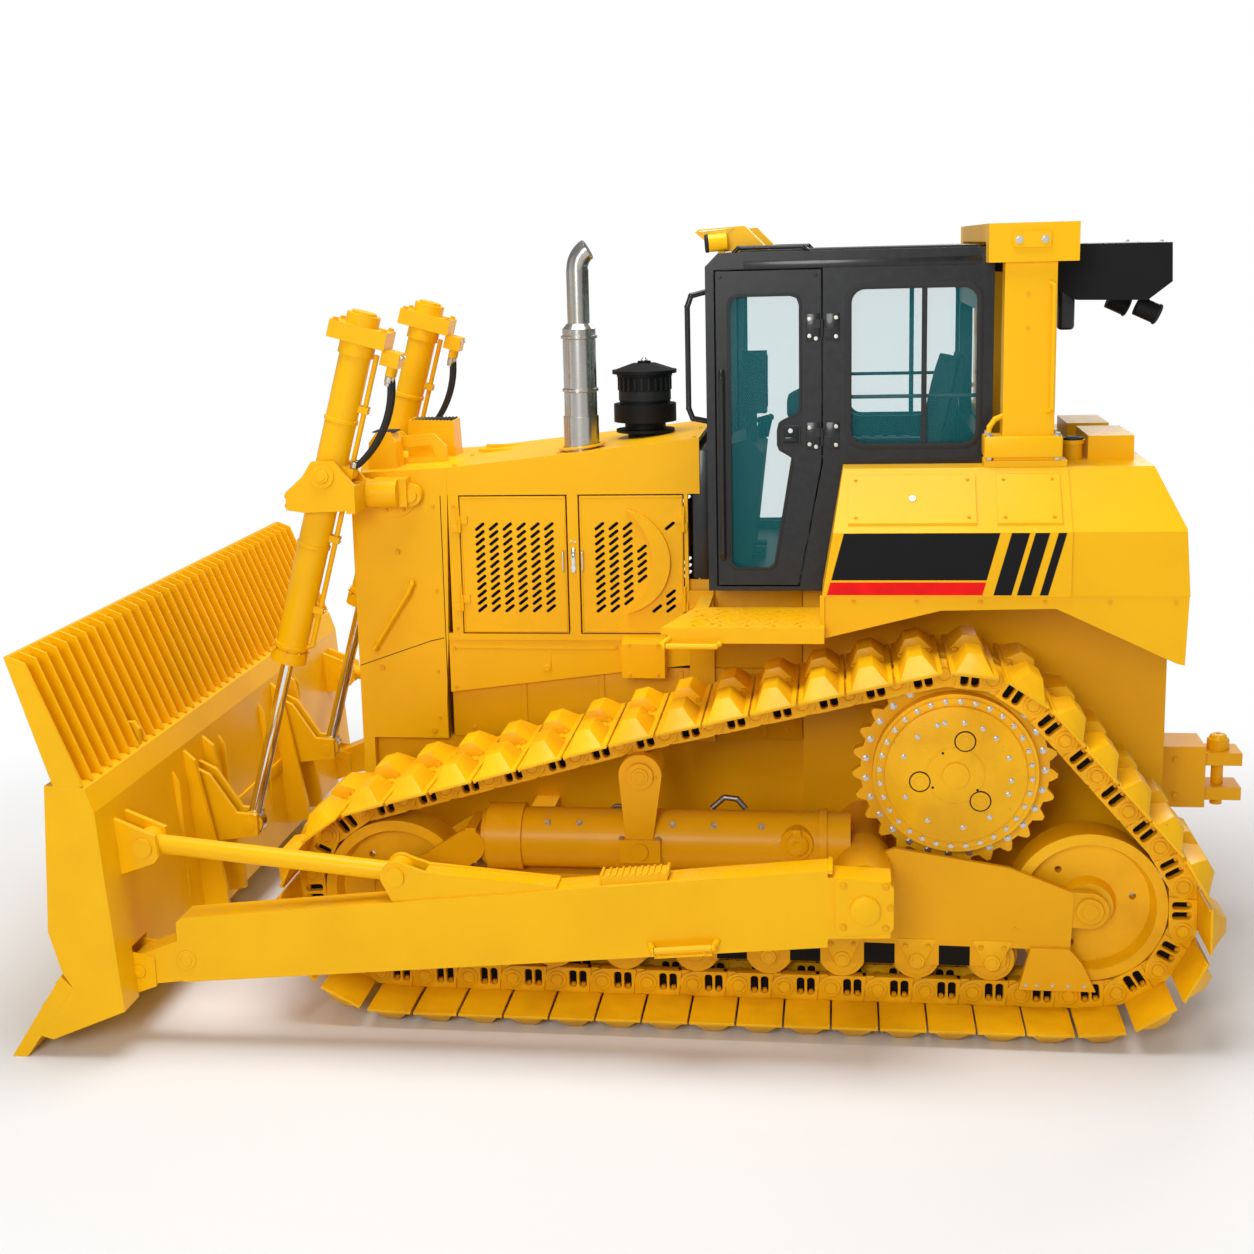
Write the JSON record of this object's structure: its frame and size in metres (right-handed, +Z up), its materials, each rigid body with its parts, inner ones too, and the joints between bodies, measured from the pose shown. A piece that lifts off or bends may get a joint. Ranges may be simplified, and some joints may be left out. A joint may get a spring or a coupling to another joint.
{
  "type": "bulldozer",
  "caption": "Tracked bulldozer with raised sprockets, wide swamp shoes, straight blade with a rack on top, two lift cylinders, enclosed cab and roll bar",
  "frame": {"origin": "on the ground under the lugs, in the machine's middle plane, midway between the drawbar's end and the cutting edge", "axes": "X forward to the blade, Y to the machine's left, Z up"},
  "size_m": [5.778, 3.86, 3.662],
  "materials": {
    "body": "machine yellow paint, dusty, gloss worn to satin",
    "frame": "machine yellow paint with mud and grease",
    "track": "yellow paint worn through to brown steel on shoes and treads",
    "blade": "machine yellow paint, scratched at the face",
    "edge": "yellow paint worn to bare steel at the lip",
    "cab": "black satin paint with dust",
    "glass": "clear tinted safety glass",
    "cap": "black moulded plastic, matt",
    "seat": "dark woven seat cloth",
    "console": "grained dark plastic",
    "engine": "painted cast iron, oily",
    "exhaust": "bare steel, heat stained and rusting",
    "rod": "hard chrome"
  },
  "bodies": {
    "chassis": {"main_frame": "frame", "engine_block": "engine", "radiator_guard": "body", "hood": "body", "side_panels": "body", "exhaust_stack": "exhaust", "air_precleaner": "cap", "cab_frame": "cab", "cab_glass": "glass", "seat": "seat", "console": "console", "rops_frame": "body", "roof_unit": "cap", "roof_lamps": "body", "fenders": "body", "rear_tank": "body", "track_frame_left": "frame", "track_frame_right": "frame", "track_left": "track", "track_right": "track", "sprockets": "track", "idlers": "track", "rollers": "track", "drawbar": "frame", "lift_yokes": "body"},
    "blade": {"blade_shell": "blade", "blade_rack": "blade", "cutting_edge": "edge", "push_arm_left": "body", "push_arm_right": "body", "tilt_struts": "body"},
    "lift_barrel_left": {"lift_barrel_left": "body", "lift_hoses_left": "cap"},
    "lift_rod_left": {"lift_rod_left": "rod"},
    "lift_barrel_right": {"lift_barrel_right": "body", "lift_hoses_right": "cap"},
    "lift_rod_right": {"lift_rod_right": "rod"},
    "cab_door_left": {"cab_door_left": "cab", "door_glass_left": "glass"},
    "cab_door_right": {"cab_door_right": "cab", "door_glass_right": "glass"},
    "engine_door_left_front": {"engine_door_left_front": "body"},
    "engine_door_left_rear": {"engine_door_left_rear": "body"},
    "engine_door_right_front": {"engine_door_right_front": "body"},
    "engine_door_right_rear": {"engine_door_right_rear": "body"},
    "hitch_pin": {"hitch_pin": "frame"}
  },
  "joints": [
    {"name": "blade_lift", "type": "hinge", "parent": "chassis", "child": "blade", "pos_m": [-0.987, 0, 0.75], "axis": [0, -1, 0], "range_deg": [-8.3, 15.3]},
    {"name": "lift_swivel_left", "type": "hinge", "parent": "chassis", "child": "lift_barrel_left", "pos_m": [1.601, 0.7, 2.53], "axis": [0, -1, 0], "range_deg": [-4.2, 7.3]},
    {"name": "lift_stroke_left", "type": "slide", "parent": "lift_barrel_left", "child": "lift_rod_left", "axis": [0.2708, 0, -0.9626], "range_m": [-0.83, 0.45]},
    {"name": "lift_swivel_right", "type": "hinge", "parent": "chassis", "child": "lift_barrel_right", "pos_m": [1.601, -0.7, 2.53], "axis": [0, -1, 0], "range_deg": [-4.2, 7.3]},
    {"name": "lift_stroke_right", "type": "slide", "parent": "lift_barrel_right", "child": "lift_rod_right", "axis": [0.2708, 0, -0.9626], "range_m": [-0.83, 0.45]},
    {"name": "cab_door_left", "type": "hinge", "parent": "chassis", "child": "cab_door_left", "pos_m": [-0.795, 0.792, 2.9], "axis": [0, 0, 1], "range_deg": [0, 80]},
    {"name": "engine_door_left_front", "type": "hinge", "parent": "chassis", "child": "engine_door_left_front", "pos_m": [1.008, 0.492, 2.03], "axis": [0, 0, -1], "range_deg": [0, 100]},
    {"name": "engine_door_left_rear", "type": "hinge", "parent": "chassis", "child": "engine_door_left_rear", "pos_m": [-0.115, 0.492, 2.03], "axis": [0, 0, 1], "range_deg": [0, 85]},
    {"name": "cab_door_right", "type": "hinge", "parent": "chassis", "child": "cab_door_right", "pos_m": [-0.795, -0.792, 2.9], "axis": [0, 0, -1], "range_deg": [0, 80]},
    {"name": "engine_door_right_front", "type": "hinge", "parent": "chassis", "child": "engine_door_right_front", "pos_m": [1.008, -0.492, 2.03], "axis": [0, 0, 1], "range_deg": [0, 100]},
    {"name": "engine_door_right_rear", "type": "hinge", "parent": "chassis", "child": "engine_door_right_rear", "pos_m": [-0.115, -0.492, 2.03], "axis": [0, 0, -1], "range_deg": [0, 85]},
    {"name": "hitch_pin_lift", "type": "slide", "parent": "chassis", "child": "hitch_pin", "axis": [0, 0, 1], "range_m": [0, 0.3]}
  ],
  "couplings": [
    {"joint": "lift_swivel_left", "follows": "blade_lift", "ratio": 0.451},
    {"joint": "lift_stroke_left", "follows": "blade_lift", "m_per_rad": -3},
    {"joint": "lift_swivel_right", "follows": "blade_lift", "ratio": 0.451},
    {"joint": "lift_stroke_right", "follows": "blade_lift", "m_per_rad": -3}
  ]
}
